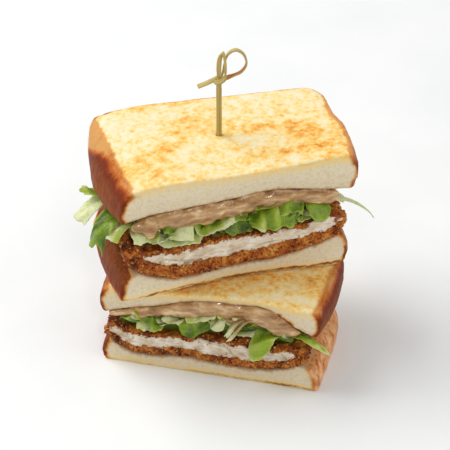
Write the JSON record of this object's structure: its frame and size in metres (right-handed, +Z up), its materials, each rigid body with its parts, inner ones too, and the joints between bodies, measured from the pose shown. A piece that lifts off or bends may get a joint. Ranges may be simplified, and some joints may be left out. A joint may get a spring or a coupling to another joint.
{
  "type": "katsu sandwich",
  "caption": "Toasted katsu sandwich, cut and stacked, with crumbed chicken cutlet, lettuce and brown sauce at the cuts, pinned by a knotted bamboo pick.",
  "frame": {"origin": "middle of the flat face of the lowest slice, on which the stack rests", "axes": "+Z up along the pick, +X to the right along the cut faces, +Y away from the cut faces towards the crust behind"},
  "size_m": [0.1438, 0.1064, 0.1549],
  "materials": {
    "bread": "toasted crumb with a brown crust",
    "cutlet": "fried crumb coat, white meat at the cut",
    "lettuce": "waxy leaf",
    "sauce": "thick glossy brown sauce",
    "bamboo": "bare split bamboo"
  },
  "bodies": {
    "root": {"lower_bottom_slice": "bread", "lower_cutlet": "cutlet", "lower_lettuce": "lettuce", "lower_sauce": "sauce", "lower_top_slice": "bread", "upper_bottom_slice": "bread", "upper_cutlet": "cutlet", "upper_lettuce": "lettuce", "upper_sauce": "sauce", "upper_top_slice": "bread", "knot_pick": "bamboo"}
  },
  "joints": []
}
